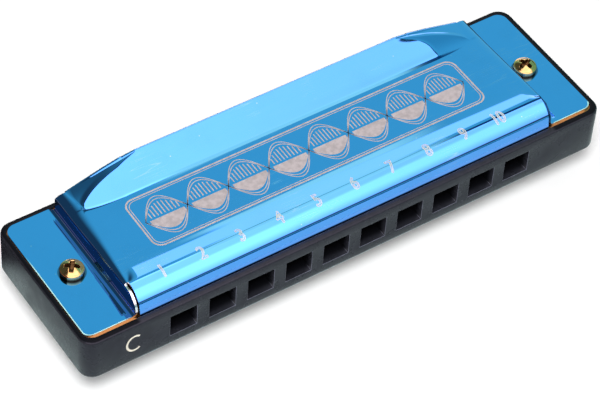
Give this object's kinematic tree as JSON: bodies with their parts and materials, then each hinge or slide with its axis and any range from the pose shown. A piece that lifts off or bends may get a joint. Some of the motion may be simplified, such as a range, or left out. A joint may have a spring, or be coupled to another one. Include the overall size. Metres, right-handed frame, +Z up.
{
  "type": "diatonic harmonica",
  "caption": "Diatonic mouth organ: plastic comb with square mouth holes, brass reed plates with flexing reeds, and pressed blue metal covers flared open at the rear.",
  "frame": {"origin": "under the middle of the comb, level with the lowest point of the lower cover", "axes": "+X along the row of holes from the low notes to the high ones, -Y towards the player's mouth, +Z up through the upper cover"},
  "size_m": [0.1024, 0.0294, 0.0218],
  "materials": {
    "comb": "smooth moulded plastic, dark grey-black, softly glossy",
    "cover": "mirror-bright pressed sheet with a transparent blue finish",
    "plate": "plain rolled brass, slightly coppery",
    "reed": "milled brass",
    "fastener": "bright gold-coloured plating"
  },
  "bodies": {
    "harmonica": {"comb": "comb", "upper_reed_plate": "plate", "lower_reed_plate": "plate", "upper_cover": "cover", "lower_cover": "cover", "cover_bolt_left": "fastener", "cover_bolt_right": "fastener", "cover_nut_left": "fastener", "cover_nut_right": "fastener", "plate_screw_left": "fastener", "plate_screw_middle": "fastener", "plate_screw_right": "fastener", "blow_reed_foot_01": "reed", "draw_reed_foot_01": "reed", "blow_reed_foot_02": "reed", "draw_reed_foot_02": "reed", "blow_reed_foot_03": "reed", "draw_reed_foot_03": "reed", "blow_reed_foot_04": "reed", "draw_reed_foot_04": "reed", "blow_reed_foot_05": "reed", "draw_reed_foot_05": "reed", "blow_reed_foot_06": "reed", "draw_reed_foot_06": "reed", "blow_reed_foot_07": "reed", "draw_reed_foot_07": "reed", "blow_reed_foot_08": "reed", "draw_reed_foot_08": "reed", "blow_reed_foot_09": "reed", "draw_reed_foot_09": "reed", "blow_reed_foot_10": "reed", "draw_reed_foot_10": "reed"},
    "blow_reed_01": {"blow_reed_01": "reed"},
    "draw_reed_01": {"draw_reed_01": "reed"},
    "blow_reed_02": {"blow_reed_02": "reed"},
    "draw_reed_02": {"draw_reed_02": "reed"},
    "blow_reed_03": {"blow_reed_03": "reed"},
    "draw_reed_03": {"draw_reed_03": "reed"},
    "blow_reed_04": {"blow_reed_04": "reed"},
    "draw_reed_04": {"draw_reed_04": "reed"},
    "blow_reed_05": {"blow_reed_05": "reed"},
    "draw_reed_05": {"draw_reed_05": "reed"},
    "blow_reed_06": {"blow_reed_06": "reed"},
    "draw_reed_06": {"draw_reed_06": "reed"},
    "blow_reed_07": {"blow_reed_07": "reed"},
    "draw_reed_07": {"draw_reed_07": "reed"},
    "blow_reed_08": {"blow_reed_08": "reed"},
    "draw_reed_08": {"draw_reed_08": "reed"},
    "blow_reed_09": {"blow_reed_09": "reed"},
    "draw_reed_09": {"draw_reed_09": "reed"},
    "blow_reed_10": {"blow_reed_10": "reed"},
    "draw_reed_10": {"draw_reed_10": "reed"}
  },
  "joints": [
    {"name": "blow_reed_01_flex", "type": "hinge", "parent": "harmonica", "child": "blow_reed_01", "pos_m": [-0.03312, 0.0058, 0.01367], "axis": [1, 0, 0], "range_deg": [-3.7, 3.7], "stiffness_Nm_per_rad": 0.001},
    {"name": "draw_reed_01_flex", "type": "hinge", "parent": "harmonica", "child": "draw_reed_01", "pos_m": [-0.03312, 0.0058, 0.00672], "axis": [1, 0, 0], "range_deg": [-3.7, 3.7], "stiffness_Nm_per_rad": 0.001},
    {"name": "blow_reed_02_flex", "type": "hinge", "parent": "harmonica", "child": "blow_reed_02", "pos_m": [-0.02576, 0.00497, 0.01367], "axis": [1, 0, 0], "range_deg": [-3.61, 3.61], "stiffness_Nm_per_rad": 0.000922},
    {"name": "draw_reed_02_flex", "type": "hinge", "parent": "harmonica", "child": "draw_reed_02", "pos_m": [-0.02576, 0.00497, 0.00672], "axis": [1, 0, 0], "range_deg": [-3.61, 3.61], "stiffness_Nm_per_rad": 0.000922},
    {"name": "blow_reed_03_flex", "type": "hinge", "parent": "harmonica", "child": "blow_reed_03", "pos_m": [-0.0184, 0.00413, 0.01367], "axis": [1, 0, 0], "range_deg": [-3.52, 3.52], "stiffness_Nm_per_rad": 0.000844},
    {"name": "draw_reed_03_flex", "type": "hinge", "parent": "harmonica", "child": "draw_reed_03", "pos_m": [-0.0184, 0.00413, 0.00672], "axis": [1, 0, 0], "range_deg": [-3.52, 3.52], "stiffness_Nm_per_rad": 0.000844},
    {"name": "blow_reed_04_flex", "type": "hinge", "parent": "harmonica", "child": "blow_reed_04", "pos_m": [-0.01104, 0.0033, 0.01367], "axis": [1, 0, 0], "range_deg": [-3.43, 3.43], "stiffness_Nm_per_rad": 0.000767},
    {"name": "draw_reed_04_flex", "type": "hinge", "parent": "harmonica", "child": "draw_reed_04", "pos_m": [-0.01104, 0.0033, 0.00672], "axis": [1, 0, 0], "range_deg": [-3.43, 3.43], "stiffness_Nm_per_rad": 0.000767},
    {"name": "blow_reed_05_flex", "type": "hinge", "parent": "harmonica", "child": "blow_reed_05", "pos_m": [-0.00368, 0.00247, 0.01367], "axis": [1, 0, 0], "range_deg": [-3.34, 3.34], "stiffness_Nm_per_rad": 0.000689},
    {"name": "draw_reed_05_flex", "type": "hinge", "parent": "harmonica", "child": "draw_reed_05", "pos_m": [-0.00368, 0.00247, 0.00672], "axis": [1, 0, 0], "range_deg": [-3.34, 3.34], "stiffness_Nm_per_rad": 0.000689},
    {"name": "blow_reed_06_flex", "type": "hinge", "parent": "harmonica", "child": "blow_reed_06", "pos_m": [0.00368, 0.00163, 0.01367], "axis": [1, 0, 0], "range_deg": [-3.26, 3.26], "stiffness_Nm_per_rad": 0.000611},
    {"name": "draw_reed_06_flex", "type": "hinge", "parent": "harmonica", "child": "draw_reed_06", "pos_m": [0.00368, 0.00163, 0.00672], "axis": [1, 0, 0], "range_deg": [-3.26, 3.26], "stiffness_Nm_per_rad": 0.000611},
    {"name": "blow_reed_07_flex", "type": "hinge", "parent": "harmonica", "child": "blow_reed_07", "pos_m": [0.01104, 0.0008, 0.01367], "axis": [1, 0, 0], "range_deg": [-3.17, 3.17], "stiffness_Nm_per_rad": 0.000533},
    {"name": "draw_reed_07_flex", "type": "hinge", "parent": "harmonica", "child": "draw_reed_07", "pos_m": [0.01104, 0.0008, 0.00672], "axis": [1, 0, 0], "range_deg": [-3.17, 3.17], "stiffness_Nm_per_rad": 0.000533},
    {"name": "blow_reed_08_flex", "type": "hinge", "parent": "harmonica", "child": "blow_reed_08", "pos_m": [0.0184, -0.00003, 0.01367], "axis": [1, 0, 0], "range_deg": [-3.08, 3.08], "stiffness_Nm_per_rad": 0.000456},
    {"name": "draw_reed_08_flex", "type": "hinge", "parent": "harmonica", "child": "draw_reed_08", "pos_m": [0.0184, -0.00003, 0.00672], "axis": [1, 0, 0], "range_deg": [-3.08, 3.08], "stiffness_Nm_per_rad": 0.000456},
    {"name": "blow_reed_09_flex", "type": "hinge", "parent": "harmonica", "child": "blow_reed_09", "pos_m": [0.02576, -0.00087, 0.01367], "axis": [1, 0, 0], "range_deg": [-2.99, 2.99], "stiffness_Nm_per_rad": 0.000378},
    {"name": "draw_reed_09_flex", "type": "hinge", "parent": "harmonica", "child": "draw_reed_09", "pos_m": [0.02576, -0.00087, 0.00672], "axis": [1, 0, 0], "range_deg": [-2.99, 2.99], "stiffness_Nm_per_rad": 0.000378},
    {"name": "blow_reed_10_flex", "type": "hinge", "parent": "harmonica", "child": "blow_reed_10", "pos_m": [0.03312, -0.0017, 0.01367], "axis": [1, 0, 0], "range_deg": [-2.9, 2.9], "stiffness_Nm_per_rad": 0.0003},
    {"name": "draw_reed_10_flex", "type": "hinge", "parent": "harmonica", "child": "draw_reed_10", "pos_m": [0.03312, -0.0017, 0.00672], "axis": [1, 0, 0], "range_deg": [-2.9, 2.9], "stiffness_Nm_per_rad": 0.0003}
  ]
}
